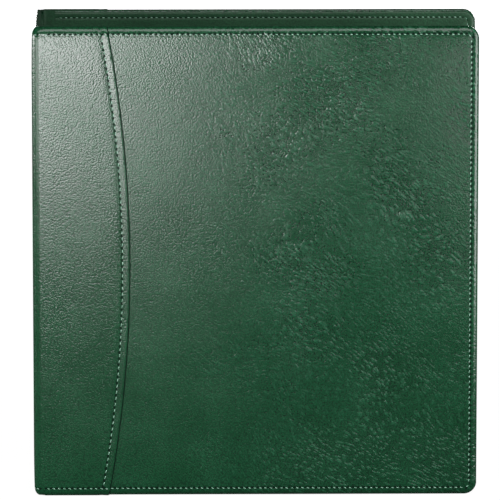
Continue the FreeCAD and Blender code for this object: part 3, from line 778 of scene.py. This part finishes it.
def spine_sewing():
    """Stitching across the top and the bottom of the spine, outside and inside."""
    bm = bmesh.new()
    half = SPINE_HALF - SPINE_ROW_END
    count = round(2 * half / EDGE_STITCH)
    steps = [-half + 2 * half * (k + 0.5) / count for k in range(count)]
    inner_steps = [y for y in steps if abs(y) <= SPINE_HALF - SPINE_INNER_END]
    rows = [(SPINE_THREAD, steps, -1, SPINE_ASIDE), (SPINE_INNER_THREAD, inner_steps, 1, (0, 0, 0))]
    for height in (HEIGHT - EDGE_LINE, EDGE_LINE):
        for depth, row, way, aside in rows:
            places = []
            for y in row:
                point = Vector((depth - WIDTH / 2, y, height))
                places.append((point, Vector((0, 1, 0)), Vector((way, 0, 0)), Vector(aside)))
            sew(bm, places, STITCH_SLANT)
    bmesh.ops.recalc_face_normals(bm, faces=bm.faces)
    piece = settle(bm, "spine_edge_sewing", [THREAD, HOLE_SHADE], "spine")
    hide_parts("spine_edge_thread")
    return piece


def hinge_sewing(side):
    """The few stitches that go round each hinge."""
    bm = bmesh.new()
    places = []
    for height in (HEIGHT - EDGE_LINE, EDGE_LINE):
        for degrees in HINGE_TURNS:
            turn = math.radians(degrees)
            out = Vector((-math.cos(turn), 0, math.sin(turn)))
            spot = Vector((BEND, height, -BEND)) + out * (BEND - SPINE_THREAD)
            places.append((spot, Vector((math.sin(turn), 0, math.cos(turn))), out, Vector(HINGE_ASIDE)))
    sew(bm, places, STITCH_SLANT)
    piece = settle(stand(bm, side), side + "_hinge_sewing", [THREAD, HOLE_SHADE])
    bend_with_cover(piece, side)
    return piece


for side in SIDES:
    padded_cover(side)
    lapped_panel(side)
    cover_lining(side)
    hinge_fold(side)
    cover_sewing(side)
    seam_sewing(side)
    hinge_sewing(side)
spine_wrap()
spine_lining()
spine_sewing()

# The leaves, boards and ring mechanism keep their frame meshes and get their finish by name.
KEPT = {
    "_card": CARD, "_strips": FILM, "board": GREYBOARD, "ring": NICKEL, "carrier": NICKEL,
    "rivets": NICKEL, "lever": NICKEL, "base": NICKEL, "pins": NICKEL}
for name, node in nodes.items():
    finish = next((m for word, m in KEPT.items() if word in name), None)
    if finish and not node.hide_render:
        node.data.materials.clear()
        node.data.materials.append(finish)


# Stage, light and camera

FLOOR_HALF = 20000
CAMERA_PLACE = (-0.0578, -4.534, 1.1388)  # metres
CAMERA_LENS = 521.6
CAMERA_DOWN, CAMERA_TURN = 12.255, -0.691  # degrees
DIM_GLOSS = 0.03  # how bright the background is in reflections
DIM_STUDIO = 0.05  # and as a light


def white_to_the_eye(tree, plain):
    """Strength of a background that is white to the eye and through clear film, dim in gloss and plain as a
    light."""
    ray = add(tree, "ShaderNodeLightPath").outputs
    direct = add(tree, "ShaderNodeMath", {
        0: ray["Is Camera Ray"], 1: ray["Is Transmission Ray"]}, operation="MAXIMUM").outputs[0]
    gloss = add(tree, "ShaderNodeMath", {
        0: ray["Is Glossy Ray"], 1: DIM_GLOSS}, operation="MULTIPLY").outputs[0]
    seen = add(tree, "ShaderNodeMath", {0: direct, 1: gloss}, operation="MAXIMUM").outputs[0]
    return add(tree, "ShaderNodeMath", {0: seen, 1: plain}, operation="MAXIMUM").outputs[0]


def floor():
    """A sheet of grey studio paper, matt, lit white to the eye; the album's shadow stays on it."""
    bm = bmesh.new()
    bmesh.ops.create_grid(bm, x_segments=1, y_segments=1, size=FLOOR_HALF)
    material, tree, shader, place = finish_named("studio paper, matt grey", {
        "Roughness": 0.95, "Specular IOR Level": 0.1, "Emission Color": linear("#f8f8f8")})
    fibre = add(tree, "ShaderNodeTexNoise", {
        "Vector": place, "Scale": repeats(3), "Detail": 2.0}).outputs["Fac"]
    shade = add(tree, "ShaderNodeMix", {
        "Factor": fibre, "A": linear("#4a4a49"), "B": linear("#50504f")}, data_type="RGBA").outputs["Result"]
    tree.links.new(shade, shader.inputs["Base Color"])
    tree.links.new(white_to_the_eye(tree, 0.0), shader.inputs["Emission Strength"])
    piece = settle(bm, "studio_floor", [material])
    return piece


def lamp(name, place, aim, size, power):
    """A soft studio lamp, out of the camera's sight: place, aim and size in metres, power in watts."""
    data = bpy.data.lights.new(name, "AREA")
    data.shape = "RECTANGLE"
    data.size, data.size_y = size
    data.energy = power
    piece = bpy.data.objects.new(name, data)
    bpy.context.scene.collection.objects.link(piece)
    piece.location = place
    piece.rotation_mode = "QUATERNION"
    piece.rotation_quaternion = (Vector(aim) - Vector(place)).to_track_quat("-Z", "Y")
    piece.visible_camera = False
    return piece


def world():
    """The grey of a dim studio, the same all round, behind a backdrop that is white to the eye."""
    sky = bpy.data.worlds.new("studio")
    sky.use_nodes = True
    backdrop = sky.node_tree.nodes["Background"].inputs
    backdrop["Color"].default_value = (1, 1, 1, 1)
    sky.node_tree.links.new(white_to_the_eye(sky.node_tree, DIM_STUDIO), backdrop["Strength"])
    bpy.context.scene.world = sky


def camera():
    """A long lens from well back, a little above the album."""
    data = bpy.data.cameras.new("camera")
    data.sensor_width = 36.0
    data.lens = CAMERA_LENS
    data.clip_start = 0.05
    data.clip_end = 100
    piece = bpy.data.objects.new("camera", data)
    bpy.context.scene.collection.objects.link(piece)
    piece.location = CAMERA_PLACE
    piece.rotation_euler = (math.radians(90 - CAMERA_DOWN), 0, math.radians(CAMERA_TURN))
    bpy.context.scene.camera = piece


floor()
world()
# two windows in front mirrored in the covers, strips for the edges, a bank for the top, back and spine each
lamp("window_left", (-0.205, -0.90, 0.178), (-0.12, -0.03, 0.26), (0.25, 0.27), 4.4)
lamp("left_strip", (-0.57, -0.62, 0.17), (-0.14, -0.03, 0.22), (0.66, 0.16), 3.2)
lamp("right_strip", (0.62, -0.22, 0.2), (0.14, -0.03, 0.16), (0.32, 0.5), 5.0)
lamp("window_right", (0.29, -0.90, 0.13), (0.13, -0.03, 0.22), (0.2, 0.2), 0.68)
lamp("top_bank", (0, -0.42, 0.72), (0, -0.03, 0.25), (1.0, 0.3), 4.7)
lamp("back_bank", (0, 1.95, 0.15), (0, 0.03, 0.15), (2.0, 0.28), 29.0)
lamp("spine_bank", (-1.95, 0.12, 0.15), (-0.14, 0, 0.15), (1.6, 0.28), 26.0)
camera()
bpy.context.scene.view_settings.view_transform = "Standard"
